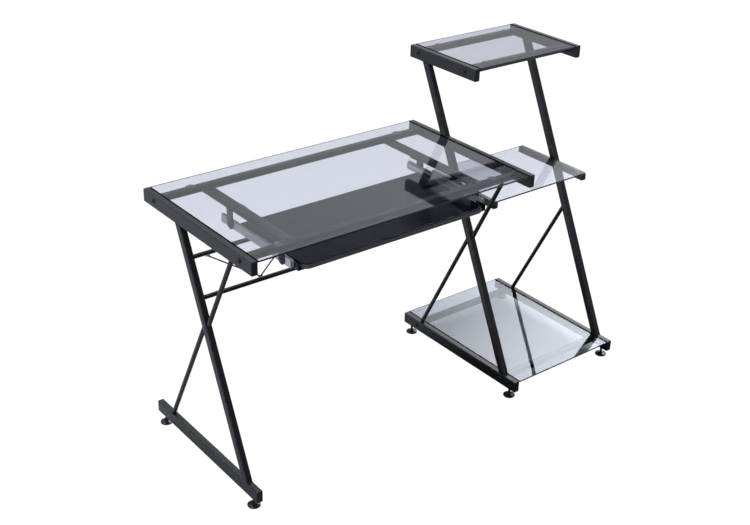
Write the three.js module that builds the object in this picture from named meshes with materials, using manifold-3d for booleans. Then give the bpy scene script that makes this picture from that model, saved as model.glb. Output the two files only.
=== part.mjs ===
// Computer desk with a shelf tower on its right side and a sliding keyboard tray.
// Millimetres, +Z up, the front faces -Y. The origin is on the floor, in the middle of the footprint.
import * as THREE from "three";
import { mergeVertices } from "three/addons/utils/BufferGeometryUtils.js";
import Module from "manifold-3d";

const wasm = await Module();
wasm.setup();

// ---- Driving sizes -------------------------------------------------------------------------------
const DESK_WIDTH = 956; // outer face to outer face of the two desk rails
const DESK_DEPTH = 540;
const DESK_HEIGHT = 754;
const TOWER_WIDTH = 442; // outer face to outer face of the two shelf sides
const TOWER_HEIGHT = 998;
const TUBE_WIDTH = 19; // every side tube, measured across the desk
const RAIL_HEIGHT = 38;
const FOOT_HEIGHT = 36;
const FOOT_LIFT = 28; // floor to the underside of the foot rails
const TUBE_WALL = 1.5;
const TUBE_CORNER = 2.5;
const JOINT_GAP = 0.3; // between welded or bolted neighbours

const LEG_DEPTH = 26; // level cut through a leaning leg
const LEG_SETBACK = 61; // front end of a foot rail to the middle of its leg
const LEG_TOP = 359; // desk front to the middle of a leg, under the desk rail
const BRACE_DIAMETER = 13;
const BRACE_TOP = 104; // desk front to the top end of a brace
const BRACE_SETBACK = 459; // front end of a foot rail to the bottom end of its brace
const TOWER_LEAD = 18; // how far the two tower foot rails reach in front of the desk

const GLASS_THICKNESS = 5;
const GLASS_CLEARANCE = 2; // between the edge of a glass and the rail beside it
const PAD_THICKNESS = 2.5; // soft pads that carry the glass on the crossbars
const CROSSBAR_SIZE = 19;
const DESK_CROSSBAR_FRONT = 55; // desk front to the middle of the bar
const DESK_CROSSBAR_REAR = 55; // middle of the bar to the desk back

const STRETCHER_SIZE = 10;
const STRETCHER_UPPER_DROP = 122.5; // desk top surface to the middle of the upper stretcher
const STRETCHER_LOWER_DROP = 223.5;
const TRUSS_WIRE_DIAMETER = 4;
const TRUSS_BAYS = 6;
const TRUSS_END_MARGIN = 44; // leg face to the first bend of the wire

const TOP_SHELF_DEPTH = 295;
const TOP_SHELF_BEHIND_POST = 72; // middle of a post to the back end of the top shelf
const MID_SHELF_DEPTH = 287;
const MID_SHELF_DROP = 145; // desk top surface to the top of the shelf glass
const SHELF_CROSSBAR_FRONT = 46; // top shelf, rail end to the middle of the bar
const SHELF_CROSSBAR_REAR = 37;
const BASE_CROSSBAR_INSET = 65;

const HANGER_INSET = 159.5; // outer face of a desk rail to the middle of the flat bar beside it
const HANGER_WIDTH = 38;
const HANGER_HEIGHT = 5;
const HANGER_DROP = 17; // desk top surface to the top of the hanger bars
const BRACKET_WIDTH = 30;
const BRACKET_THICKNESS = 2;
const BRACKET_TAB_OVERHANG = 8; // how far a tab reaches past the right edge of its bar
const BRACKET_TAB_LIP = 2; // and past the left edge
const BRACKET_FRONT = 80; // desk front to the middle of the front drop brackets
const BRACKET_REAR = 325;

const SLIDE_SPACING_OVER_HANGERS = 23; // drop bracket faces, beyond the spacing of the hanger bars
const SLIDE_LENGTH = 330;
const SLIDE_HEIGHT = 24;
const SLIDE_SHEET = 1.2;
const SLIDE_FRONT = 42; // desk front to the front end of the slides
const SLIDE_DROP = 63; // desk top surface to the middle of the slides
const SLIDE_DEPTH = 10.1; // across the closed pair of members
const CAGE_LENGTH = 150;
const CAGE_FRONT = 175;

const TRAY_DEPTH = 295;
const TRAY_THICKNESS = 16;
const TRAY_FRONT = 13; // desk front to the front edge of the closed tray
const TRAY_DROP = 60; // desk top surface to the top of the tray
const TRAY_CORNER = 24;
const TRAY_OFFSET = -6; // the tray hangs this far beside the middle of the desk
const TRAY_SIDE_GAP = 8.5; // board edge to the angle beside it
const TRAY_BRACKET_THICKNESS = 1.8;
const TRAY_BRACKET_LENGTH = 38;
const TRAY_BRACKET_SHELF = 32; // leg of the angle that lies under the board
const TRAY_BRACKET_INSET = 10; // board front to the front angles, and board back to the rear ones

const GLIDE_DIAMETER = 37;
const GLIDE_BASE = 4;
const GLIDE_DOME = 4;
const GLIDE_STEM_DIAMETER = 8;
const GLIDE_INSET = 30; // rail end to the middle of the glide
const GLIDE_STEM_INSIDE = 14; // stem length inside the foot rail
const NUT_WIDTH = 13;
const NUT_HEIGHT = 6.5;
const THREAD_CLEARANCE = 0.3;

// ---- Levels and places worked out from them ------------------------------------------------------
const FOOT_TOP = FOOT_LIFT + FOOT_HEIGHT;
const DESK_RAIL_BOTTOM = DESK_HEIGHT - RAIL_HEIGHT;
const TOP_RAIL_BOTTOM = TOWER_HEIGHT - RAIL_HEIGHT;
const LEFT_X = TUBE_WIDTH / 2;
const MIDDLE_X = DESK_WIDTH - TUBE_WIDTH / 2;
const RIGHT_X = DESK_WIDTH - TUBE_WIDTH + TOWER_WIDTH - TUBE_WIDTH / 2;
const TOTAL_WIDTH = RIGHT_X + TUBE_WIDTH / 2;
const CAVITY = 2 * JOINT_GAP;
const STRETCHER_UPPER_HEIGHT = DESK_HEIGHT - STRETCHER_UPPER_DROP;
const STRETCHER_LOWER_HEIGHT = DESK_HEIGHT - STRETCHER_LOWER_DROP;
const SLIDE_CENTRE_HEIGHT = DESK_HEIGHT - SLIDE_DROP;
const TRAY_TOP_HEIGHT = DESK_HEIGHT - TRAY_DROP;
const MID_SHELF_HEIGHT = DESK_HEIGHT - MID_SHELF_DROP;
const HANGER_SPACING = DESK_WIDTH - 2 * HANGER_INSET;
const BRACKET_TAB = BRACKET_TAB_LIP + HANGER_WIDTH + BRACKET_TAB_OVERHANG;
const BRACKET_TOP = DESK_HEIGHT - HANGER_DROP - HANGER_HEIGHT - JOINT_GAP;
const BRACKET_BOTTOM = SLIDE_CENTRE_HEIGHT - SLIDE_HEIGHT / 2 - 4;
const SLIDE_FACE = (HANGER_SPACING + SLIDE_SPACING_OVER_HANGERS) / 2; // from the middle line of the tray
const TRAY_CENTRE_X = DESK_WIDTH / 2 + TRAY_OFFSET;

// ---- Materials -----------------------------------------------------------------------------------
const paint = (color, roughness, metalness) => () =>
  new THREE.MeshStandardMaterial({ color, roughness, metalness });
const blackFrame = paint(0x3a3b3d, 0.45, 0.3);
const zincSteel = paint(0xb4b6b8, 0.3, 0.9);
const blackBoard = paint(0x1c1d22, 0.4, 0);
const blackPlastic = paint(0x111113, 0.3, 0);
const smokedGlass = () =>
  new THREE.MeshStandardMaterial({
    color: 0xa9aeb8,
    roughness: 0.05,
    metalness: 0,
    transparent: true,
    opacity: 0.4,
  });

// ---- Small builders ------------------------------------------------------------------------------
const desk = new THREE.Group();

function add(name, geometry, material, x = 0, y = 0, z = 0) {
  const mesh = new THREE.Mesh(geometry, material());
  mesh.name = name;
  mesh.position.set(x, y, z);
  desk.add(mesh);
  return mesh;
}

function roundedOutline(target, width, height, radius) {
  const x = width / 2;
  const y = height / 2;
  target.moveTo(x, -y + radius);
  target.lineTo(x, y - radius);
  target.absarc(x - radius, y - radius, radius, 0, Math.PI / 2);
  target.lineTo(-x + radius, y);
  target.absarc(-x + radius, y - radius, radius, Math.PI / 2, Math.PI);
  target.lineTo(-x, -y + radius);
  target.absarc(-x + radius, -y + radius, radius, Math.PI, 1.5 * Math.PI);
  target.lineTo(x - radius, -y);
  target.absarc(x - radius, -y + radius, radius, 1.5 * Math.PI, 2 * Math.PI);
  return target;
}

function extruded(shape, length, segments = 3) {
  const geometry = new THREE.ExtrudeGeometry(shape, {
    depth: length,
    bevelEnabled: false,
    curveSegments: segments,
  });
  return geometry.translate(0, 0, -length / 2);
}

// A hollow tube along local Z, centred on the origin.
function tube(width, height, length, wall = TUBE_WALL) {
  const shape = roundedOutline(new THREE.Shape(), width, height, TUBE_CORNER);
  const inside = roundedOutline(
    new THREE.Path(),
    width - 2 * wall,
    height - 2 * wall,
    TUBE_CORNER - wall,
  );
  shape.holes.push(inside);
  return extruded(shape, length);
}

const tubeAlongY = (width, height, length) =>
  tube(width, height, length).rotateX(Math.PI / 2);
const tubeAlongX = (depth, height, length) =>
  tube(height, depth, length).rotateY(Math.PI / 2);
const slab = (width, depth, height) => new THREE.BoxGeometry(width, depth, height);

// Turns geometry that stands upright into geometry that leans back by `lean` for each unit of height.
const leaned = (geometry, lean) =>
  geometry.applyMatrix4(new THREE.Matrix4().makeShear(0, 0, 0, 0, 0, lean));

function solid(geometry) {
  const bare = geometry.index ? geometry.toNonIndexed() : geometry.clone();
  bare.deleteAttribute("normal");
  bare.deleteAttribute("uv");
  const merged = mergeVertices(bare, 1e-3);
  return new wasm.Manifold(
    new wasm.Mesh({
      numProp: 3,
      vertProperties: merged.attributes.position.array,
      triVerts: new Uint32Array(merged.index.array),
    }),
  );
}

function geometryOf(manifold) {
  const mesh = manifold.getMesh();
  const geometry = new THREE.BufferGeometry();
  geometry.setAttribute("position", new THREE.BufferAttribute(mesh.vertProperties, 3));
  geometry.setIndex(new THREE.BufferAttribute(mesh.triVerts, 1));
  const flat = geometry.toNonIndexed();
  flat.computeVertexNormals();
  return flat;
}

const without = (geometry, ...cutters) =>
  geometryOf(cutters.reduce((left, cutter) => left.subtract(solid(cutter)), solid(geometry)));
const joined = (...geometries) =>
  geometryOf(geometries.map(solid).reduce((sum, next) => sum.add(next)));

// ---- Leaning legs, posts and braces --------------------------------------------------------------
// The side frames share one outline. `front` is the front end of the frame's own foot rail.
const legLean = (front) =>
  (LEG_TOP - front - LEG_SETBACK) / (DESK_RAIL_BOTTOM - FOOT_TOP);
const legAt = (front, height) => front + LEG_SETBACK + legLean(front) * (height - FOOT_TOP);
const braceLean = (front) =>
  (BRACE_TOP - front - BRACE_SETBACK) / (DESK_RAIL_BOTTOM - FOOT_TOP);
const braceAt = (front, height) => front + BRACE_SETBACK + braceLean(front) * (height - FOOT_TOP);

// Where the middle lines of leg and brace cross.
function crossingHeight(front) {
  const apart = BRACE_SETBACK - LEG_SETBACK;
  return FOOT_TOP + apart / (legLean(front) - braceLean(front));
}

function addLeg(name, x, front, bottom, top) {
  const height = top - bottom - 2 * JOINT_GAP;
  const middle = (top + bottom) / 2;
  const geometry = leaned(tube(TUBE_WIDTH, LEG_DEPTH, height), legLean(front));
  add(name, geometry, blackFrame, x, legAt(front, middle), middle);
}

// A round brace between two levels, cut clear of the leg that it is welded to.
function addBrace(name, x, front, bottom, top) {
  const lean = braceLean(front);
  const height = top - bottom;
  const middle = (top + bottom) / 2;
  const radius = BRACE_DIAMETER / 2;
  const rod = new THREE.CylinderGeometry(radius, radius, height, 16).rotateX(Math.PI / 2);
  rod.scale(1, Math.hypot(1, lean), 1);
  leaned(rod, lean).translate(0, braceAt(front, middle), middle);
  const legHeight = DESK_RAIL_BOTTOM - FOOT_TOP;
  const legMiddle = (DESK_RAIL_BOTTOM + FOOT_TOP) / 2;
  const leg = slab(2 * TUBE_WIDTH, LEG_DEPTH + CAVITY, legHeight);
  leaned(leg, legLean(front)).translate(0, legAt(front, legMiddle), legMiddle);
  add(name, without(rod, leg), blackFrame, x);
}

function addUpperBrace(name, x, front) {
  addBrace(name, x, front, crossingHeight(front), DESK_RAIL_BOTTOM - JOINT_GAP);
}

function addLowerBrace(name, x, front) {
  addBrace(name, x, front, FOOT_TOP + JOINT_GAP, crossingHeight(front));
}

// ---- Foot rails, glides and their nuts -----------------------------------------------------------
function hexagon(width) {
  const shape = new THREE.Shape();
  const radius = width / Math.sqrt(3);
  for (let corner = 0; corner < 6; corner += 1) {
    const angle = (corner * Math.PI) / 3;
    const point = [radius * Math.cos(angle), radius * Math.sin(angle)];
    if (corner === 0) shape.moveTo(...point);
    else shape.lineTo(...point);
  }
  return shape;
}

function nutGeometry() {
  const shape = hexagon(NUT_WIDTH);
  const bore = GLIDE_STEM_DIAMETER / 2 + THREAD_CLEARANCE;
  shape.holes.push(new THREE.Path().absarc(0, 0, bore, 0, 2 * Math.PI, true));
  return extruded(shape, NUT_HEIGHT, 10);
}

function glideGeometry() {
  const outer = GLIDE_DIAMETER / 2;
  const stem = GLIDE_STEM_DIAMETER / 2;
  const hub = stem + 3;
  const profile = [
    [0, 0],
    [outer - 1.5, 0],
    [outer, 1.5],
    [outer, GLIDE_BASE],
    [outer - 4, GLIDE_BASE + 0.6 * GLIDE_DOME],
    [hub, GLIDE_BASE + GLIDE_DOME],
    [hub, GLIDE_BASE + GLIDE_DOME + 3],
    [stem, GLIDE_BASE + GLIDE_DOME + 3],
    [stem, FOOT_LIFT + GLIDE_STEM_INSIDE],
    [0, FOOT_LIFT + GLIDE_STEM_INSIDE],
  ];
  const points = profile.map(([radius, height]) => new THREE.Vector2(radius, height));
  return new THREE.LatheGeometry(points, 24).rotateX(Math.PI / 2);
}

function addFootRail(side, x, front) {
  const middle = front + DESK_DEPTH / 2;
  const ends = { front: front + GLIDE_INSET, rear: front + DESK_DEPTH - GLIDE_INSET };
  const bore = GLIDE_STEM_DIAMETER / 2 + THREAD_CLEARANCE;
  const rail = tubeAlongY(TUBE_WIDTH, FOOT_HEIGHT, DESK_DEPTH);
  const holes = Object.values(ends).map((y) =>
    new THREE.CylinderGeometry(bore, bore, 4 * TUBE_WALL, 16)
      .rotateX(Math.PI / 2)
      .translate(0, y - middle, -FOOT_HEIGHT / 2),
  );
  add(`foot_rail_${side}`, without(rail, ...holes), blackFrame, x, middle, FOOT_LIFT + FOOT_HEIGHT / 2);
  for (const [end, y] of Object.entries(ends)) {
    add(`glide_${side}_${end}`, glideGeometry(), blackPlastic, x, y);
    const nutHeight = FOOT_LIFT + TUBE_WALL + JOINT_GAP + NUT_HEIGHT / 2;
    add(`glide_nut_${side}_${end}`, nutGeometry(), zincSteel, x, y, nutHeight);
  }
}

// ---- Shelf and desk tops -------------------------------------------------------------------------
// Two rails along the sides, two crossbars between them, and a glass lying flush between the rails.
function addGlassBetweenRails(name, leftX, rightX, front, depth, top) {
  const width = rightX - leftX - TUBE_WIDTH - 2 * GLASS_CLEARANCE;
  const middle = top - GLASS_THICKNESS / 2;
  const glass = slab(width, depth, GLASS_THICKNESS);
  add(`${name}_glass`, glass, smokedGlass, (leftX + rightX) / 2, front + depth / 2, middle);
}

function addCrossbar(name, leftX, rightX, y, railTop) {
  const length = rightX - leftX - TUBE_WIDTH - 2 * JOINT_GAP;
  const top = railTop - GLASS_THICKNESS - PAD_THICKNESS;
  const bar = tubeAlongX(CROSSBAR_SIZE, CROSSBAR_SIZE, length);
  add(name, bar, blackFrame, (leftX + rightX) / 2, y, top - CROSSBAR_SIZE / 2);
}

function addSideRail(name, x, front, depth, top) {
  const rail = tubeAlongY(TUBE_WIDTH, RAIL_HEIGHT, depth);
  add(name, rail, blackFrame, x, front + depth / 2, top - RAIL_HEIGHT / 2);
}

function addDeskTop() {
  addSideRail("desk_rail_left", LEFT_X, 0, DESK_DEPTH, DESK_HEIGHT);
  addSideRail("desk_rail_right", MIDDLE_X, 0, DESK_DEPTH, DESK_HEIGHT);
  addCrossbar("desk_crossbar_front", LEFT_X, MIDDLE_X, DESK_CROSSBAR_FRONT, DESK_HEIGHT);
  addCrossbar("desk_crossbar_rear", LEFT_X, MIDDLE_X, DESK_DEPTH - DESK_CROSSBAR_REAR, DESK_HEIGHT);
  addGlassBetweenRails("desk", LEFT_X, MIDDLE_X, 0, DESK_DEPTH, DESK_HEIGHT);
}

function addTopShelf() {
  const back = legAt(-TOWER_LEAD, TOP_RAIL_BOTTOM) + TOP_SHELF_BEHIND_POST;
  const front = back - TOP_SHELF_DEPTH;
  addSideRail("top_rail_left", MIDDLE_X, front, TOP_SHELF_DEPTH, TOWER_HEIGHT);
  addSideRail("top_rail_right", RIGHT_X, front, TOP_SHELF_DEPTH, TOWER_HEIGHT);
  addCrossbar("top_crossbar_front", MIDDLE_X, RIGHT_X, front + SHELF_CROSSBAR_FRONT, TOWER_HEIGHT);
  addCrossbar("top_crossbar_rear", MIDDLE_X, RIGHT_X, back - SHELF_CROSSBAR_REAR, TOWER_HEIGHT);
  addGlassBetweenRails("top", MIDDLE_X, RIGHT_X, front, TOP_SHELF_DEPTH, TOWER_HEIGHT);
}

// The middle shelf hangs between the posts: two rails against the posts, glass on top of them.
function addMiddleShelf() {
  const railTop = MID_SHELF_HEIGHT - GLASS_THICKNESS - JOINT_GAP;
  const railHeight = railTop - CROSSBAR_SIZE / 2;
  const middle = legAt(-TOWER_LEAD, railHeight);
  const inside = (TUBE_WIDTH + CROSSBAR_SIZE) / 2 + JOINT_GAP;
  const rail = () => tubeAlongY(CROSSBAR_SIZE, CROSSBAR_SIZE, MID_SHELF_DEPTH);
  add("mid_rail_left", rail(), blackFrame, MIDDLE_X + inside, middle, railHeight);
  add("mid_rail_right", rail(), blackFrame, RIGHT_X - inside, middle, railHeight);
  const width = RIGHT_X - MIDDLE_X - TUBE_WIDTH - 2 * JOINT_GAP;
  const glass = slab(width, MID_SHELF_DEPTH, GLASS_THICKNESS);
  const glassHeight = MID_SHELF_HEIGHT - GLASS_THICKNESS / 2;
  add("mid_glass", glass, smokedGlass, (MIDDLE_X + RIGHT_X) / 2, middle, glassHeight);
}

function addBaseShelf() {
  const front = -TOWER_LEAD;
  const back = front + DESK_DEPTH;
  addCrossbar("base_crossbar_front", MIDDLE_X, RIGHT_X, front + BASE_CROSSBAR_INSET, FOOT_TOP);
  addCrossbar("base_crossbar_rear", MIDDLE_X, RIGHT_X, back - BASE_CROSSBAR_INSET, FOOT_TOP);
  addGlassBetweenRails("base", MIDDLE_X, RIGHT_X, front, DESK_DEPTH, FOOT_TOP);
}

// ---- Side frames ---------------------------------------------------------------------------------
function addSideFrames() {
  addFootRail("left", LEFT_X, 0);
  addLeg("leg_left", LEFT_X, 0, FOOT_TOP, DESK_RAIL_BOTTOM);
  addUpperBrace("brace_left_upper", LEFT_X, 0);
  addLowerBrace("brace_left_lower", LEFT_X, 0);

  addFootRail("middle", MIDDLE_X, -TOWER_LEAD);
  addLeg("leg_middle", MIDDLE_X, -TOWER_LEAD, FOOT_TOP, DESK_RAIL_BOTTOM);
  addLeg("post_middle", MIDDLE_X, -TOWER_LEAD, DESK_HEIGHT, TOP_RAIL_BOTTOM);
  addUpperBrace("brace_middle_upper", MIDDLE_X, -TOWER_LEAD);
  addLowerBrace("brace_middle_lower", MIDDLE_X, -TOWER_LEAD);

  addFootRail("right", RIGHT_X, -TOWER_LEAD);
  addLeg("post_right", RIGHT_X, -TOWER_LEAD, FOOT_TOP, TOP_RAIL_BOTTOM);
  addLowerBrace("brace_right", RIGHT_X, -TOWER_LEAD);
}

// ---- Stretchers and the zigzag wire between them -------------------------------------------------
const stretcherAt = (height) => (legAt(0, height) + legAt(-TOWER_LEAD, height)) / 2;

function addStretcher(name, height) {
  const length = MIDDLE_X - LEFT_X - TUBE_WIDTH - 2 * JOINT_GAP;
  const bar = tubeAlongX(STRETCHER_SIZE, STRETCHER_SIZE, length);
  add(name, bar, blackFrame, (LEFT_X + MIDDLE_X) / 2, stretcherAt(height), height);
}

function rodBetween(from, to, radius) {
  const direction = new THREE.Vector3().subVectors(to, from);
  const rod = new THREE.CylinderGeometry(radius, radius, direction.length(), 10);
  const turn = new THREE.Quaternion().setFromUnitVectors(
    new THREE.Vector3(0, 1, 0),
    direction.clone().normalize(),
  );
  const middle = new THREE.Vector3().addVectors(from, to).multiplyScalar(0.5);
  return rod.applyQuaternion(turn).translate(middle.x, middle.y, middle.z);
}

function addTrussWire() {
  const radius = TRUSS_WIRE_DIAMETER / 2;
  const inset = STRETCHER_SIZE / 2 + radius + JOINT_GAP;
  const high = STRETCHER_UPPER_HEIGHT - inset;
  const low = STRETCHER_LOWER_HEIGHT + inset;
  const start = TUBE_WIDTH + TRUSS_END_MARGIN;
  const bay = (DESK_WIDTH - 2 * start) / TRUSS_BAYS;
  const bends = [];
  for (let bend = 0; bend <= TRUSS_BAYS; bend += 1) {
    const height = bend % 2 ? low : high;
    bends.push(new THREE.Vector3(start + bend * bay, stretcherAt(height), height));
  }
  const pieces = [];
  bends.forEach((point, index) => {
    const knuckle = new THREE.SphereGeometry(radius, 10, 8);
    pieces.push(knuckle.translate(point.x, point.y, point.z));
    if (index > 0) pieces.push(rodBetween(bends[index - 1], point, radius));
  });
  add("truss_wire", joined(...pieces), blackFrame);
}

// ---- Tray hangers, brackets and slides -----------------------------------------------------------
// Everything on the left side of the tray is repeated as its mirror image on the right.
const SIDES = { left: -1, right: 1 };
const hangerX = (sign) => (DESK_WIDTH + sign * HANGER_SPACING) / 2;

function addHangers() {
  const front = DESK_CROSSBAR_FRONT + CROSSBAR_SIZE / 2 + JOINT_GAP;
  const back = DESK_DEPTH - DESK_CROSSBAR_REAR - CROSSBAR_SIZE / 2 - JOINT_GAP;
  const height = DESK_HEIGHT - HANGER_DROP - HANGER_HEIGHT / 2;
  for (const [side, sign] of Object.entries(SIDES)) {
    const bar = slab(HANGER_WIDTH, back - front, HANGER_HEIGHT);
    add(`hanger_bar_${side}`, bar, blackFrame, hangerX(sign), (front + back) / 2, height);
  }
}

// A plate with a round lower end under a flat tab that bolts to the hanger bar.
// The plate stands at x = 0 and the middle of the tab is at `tabX`.
function dropBracketGeometry(tabX) {
  const radius = BRACKET_WIDTH / 2;
  const drop = BRACKET_TOP - BRACKET_BOTTOM;
  const outline = new THREE.Shape();
  outline.moveTo(radius, 0);
  outline.lineTo(-radius, 0);
  outline.lineTo(-radius, -drop + radius);
  outline.absarc(0, -drop + radius, radius, Math.PI, 2 * Math.PI);
  const plate = extruded(outline, BRACKET_THICKNESS, 12)
    .rotateX(Math.PI / 2)
    .rotateZ(Math.PI / 2);
  const tab = slab(BRACKET_TAB, BRACKET_WIDTH, BRACKET_THICKNESS);
  return joined(plate, tab.translate(tabX, 0, -BRACKET_THICKNESS / 2));
}

function addDropBrackets() {
  const places = { front: BRACKET_FRONT, rear: BRACKET_REAR };
  const middle = SLIDE_FACE + JOINT_GAP + BRACKET_THICKNESS / 2;
  const tabFromBar = (BRACKET_TAB_OVERHANG - BRACKET_TAB_LIP) / 2;
  for (const [side, sign] of Object.entries(SIDES)) {
    const x = TRAY_CENTRE_X + sign * middle;
    const tabX = hangerX(sign) + tabFromBar - x;
    for (const [end, y] of Object.entries(places)) {
      add(`drop_bracket_${side}_${end}`, dropBracketGeometry(tabX), blackFrame, x, y, BRACKET_TOP);
    }
  }
}

// A channel of bent sheet along Y: its web stands at x = 0 and its two lips point to +x.
function channel(height, lip, sheet, length) {
  const half = height / 2;
  const section = new THREE.Shape();
  section.moveTo(0, -half);
  section.lineTo(lip, -half);
  section.lineTo(lip, -half + sheet);
  section.lineTo(sheet, -half + sheet);
  section.lineTo(sheet, half - sheet);
  section.lineTo(lip, half - sheet);
  section.lineTo(lip, half);
  section.lineTo(0, half);
  return extruded(section, length).rotateX(Math.PI / 2);
}

function addSlides() {
  const middle = SLIDE_FRONT + SLIDE_LENGTH / 2;
  const cageMiddle = CAGE_FRONT + CAGE_LENGTH / 2;
  const cageSheet = 0.8;
  const cageHeight = SLIDE_HEIGHT - 2 * SLIDE_SHEET - 2;
  const innerHeight = cageHeight - 2 * cageSheet - 2;
  const turned = (geometry, sign) => geometry.rotateZ(sign > 0 ? Math.PI : 0);
  for (const [side, sign] of Object.entries(SIDES)) {
    const face = TRAY_CENTRE_X + sign * SLIDE_FACE;
    const outer = turned(channel(SLIDE_HEIGHT, 8, SLIDE_SHEET, SLIDE_LENGTH), sign);
    const cage = turned(channel(cageHeight, 6, cageSheet, CAGE_LENGTH), sign);
    const inner = turned(channel(innerHeight, 6, SLIDE_SHEET, SLIDE_LENGTH), -sign);
    const cageX = face - sign * (SLIDE_SHEET + 0.8);
    const innerX = face - sign * SLIDE_DEPTH;
    add(`slide_outer_${side}`, outer, zincSteel, face, middle, SLIDE_CENTRE_HEIGHT);
    add(`slide_cage_${side}`, cage, zincSteel, cageX, cageMiddle, SLIDE_CENTRE_HEIGHT);
    add(`slide_inner_${side}`, inner, zincSteel, innerX, middle, SLIDE_CENTRE_HEIGHT);
  }
}

// ---- Keyboard tray -------------------------------------------------------------------------------
const TRAY_ANGLE_FACE = SLIDE_FACE - SLIDE_DEPTH - TRAY_BRACKET_THICKNESS - JOINT_GAP;
const TRAY_HALF_WIDTH = TRAY_ANGLE_FACE - TRAY_SIDE_GAP;

// A flat board with two round front corners.
function addTray() {
  const side = TRAY_HALF_WIDTH;
  const end = TRAY_DEPTH / 2;
  const corner = side - TRAY_CORNER;
  const board = new THREE.Shape();
  board.moveTo(side, end);
  board.lineTo(-side, end);
  board.lineTo(-side, -end + TRAY_CORNER);
  board.absarc(-corner, -end + TRAY_CORNER, TRAY_CORNER, Math.PI, 1.5 * Math.PI);
  board.lineTo(corner, -end);
  board.absarc(corner, -end + TRAY_CORNER, TRAY_CORNER, 1.5 * Math.PI, 2 * Math.PI);
  const geometry = extruded(board, TRAY_THICKNESS, 10);
  const height = TRAY_TOP_HEIGHT - TRAY_THICKNESS / 2;
  add("keyboard_tray", geometry, blackBoard, TRAY_CENTRE_X, TRAY_FRONT + end, height);
}

// An angle that screws under the board and against the inner slide member.
function trayBracketGeometry(sign) {
  const leafBottom = TRAY_TOP_HEIGHT - TRAY_THICKNESS - JOINT_GAP - TRAY_BRACKET_THICKNESS;
  const leafHeight = TRAY_TOP_HEIGHT - leafBottom;
  const leaf = slab(TRAY_BRACKET_THICKNESS, TRAY_BRACKET_LENGTH, leafHeight);
  leaf.translate((sign * TRAY_BRACKET_THICKNESS) / 2, 0, leafBottom + leafHeight / 2);
  const shelf = slab(TRAY_BRACKET_SHELF, TRAY_BRACKET_LENGTH, TRAY_BRACKET_THICKNESS);
  const shelfX = -sign * (TRAY_BRACKET_SHELF / 2 - TRAY_BRACKET_THICKNESS);
  return joined(leaf, shelf.translate(shelfX, 0, leafBottom + TRAY_BRACKET_THICKNESS / 2));
}

function addTrayBrackets() {
  const inset = TRAY_BRACKET_INSET + TRAY_BRACKET_LENGTH / 2;
  const places = { front: TRAY_FRONT + inset, rear: TRAY_FRONT + TRAY_DEPTH - inset };
  for (const [side, sign] of Object.entries(SIDES)) {
    const x = TRAY_CENTRE_X + sign * TRAY_ANGLE_FACE;
    for (const [end, y] of Object.entries(places)) {
      add(`tray_bracket_${side}_${end}`, trayBracketGeometry(sign), blackFrame, x, y);
    }
  }
}

addDeskTop();
addSideFrames();
addStretcher("stretcher_upper", STRETCHER_UPPER_HEIGHT);
addStretcher("stretcher_lower", STRETCHER_LOWER_HEIGHT);
addTrussWire();
addTopShelf();
addMiddleShelf();
addBaseShelf();
addHangers();
addDropBrackets();
addSlides();
addTray();
addTrayBrackets();

const footprintBack = legAt(-TOWER_LEAD, TOP_RAIL_BOTTOM) + TOP_SHELF_BEHIND_POST;
desk.position.set(-TOTAL_WIDTH / 2, -(footprintBack - TOWER_LEAD) / 2, 0);
desk.name = "computer_desk";

export default desk;
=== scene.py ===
# The finished look of a computer desk with a sliding keyboard tray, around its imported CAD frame.
import math

import bmesh
import bpy
from mathutils import Euler, Matrix, Vector


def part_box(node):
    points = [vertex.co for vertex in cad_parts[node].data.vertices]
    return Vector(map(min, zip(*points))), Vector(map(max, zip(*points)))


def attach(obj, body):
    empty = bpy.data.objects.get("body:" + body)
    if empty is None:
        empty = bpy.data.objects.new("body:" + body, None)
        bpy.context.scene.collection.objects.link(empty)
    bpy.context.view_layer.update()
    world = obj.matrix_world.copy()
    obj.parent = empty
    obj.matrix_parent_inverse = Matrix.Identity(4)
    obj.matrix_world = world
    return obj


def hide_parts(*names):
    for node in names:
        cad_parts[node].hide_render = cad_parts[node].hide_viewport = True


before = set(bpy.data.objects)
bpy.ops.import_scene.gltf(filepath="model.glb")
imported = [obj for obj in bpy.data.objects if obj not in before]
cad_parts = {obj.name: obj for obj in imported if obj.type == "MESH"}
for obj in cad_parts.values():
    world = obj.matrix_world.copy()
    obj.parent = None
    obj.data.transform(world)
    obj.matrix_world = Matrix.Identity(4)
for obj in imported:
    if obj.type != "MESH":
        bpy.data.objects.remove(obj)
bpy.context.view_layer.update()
MM = 0.001
SIDES = ("left", "right")
ENDS = ("front", "rear")
FRAMES = ("left", "middle", "right")


# ---- Shader maths ------------------------------------------------------------------------------
class Value:
    """A socket in a shader tree. Sums and products of values add Math nodes."""

    def __init__(self, shading, socket):
        self.shading = shading
        self.socket = socket

    def maths(self, operation, *values, clamp=False):
        settings = {"operation": operation, "use_clamp": clamp}
        return self.shading.node("ShaderNodeMath", settings, dict(enumerate(values)))

    def __add__(self, other):
        return self.maths("ADD", self, other)

    def __sub__(self, other):
        return self.maths("SUBTRACT", self, other)

    def __rsub__(self, other):
        return self.maths("SUBTRACT", other, self)

    def __mul__(self, other):
        return self.maths("MULTIPLY", self, other)

    def __truediv__(self, other):
        return self.maths("DIVIDE", self, other)

    def __pow__(self, other):
        return self.maths("POWER", self, other)

    def clamped(self):
        return self.maths("ADD", self, 0.0, clamp=True)

    __radd__ = __add__
    __rmul__ = __mul__


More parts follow.
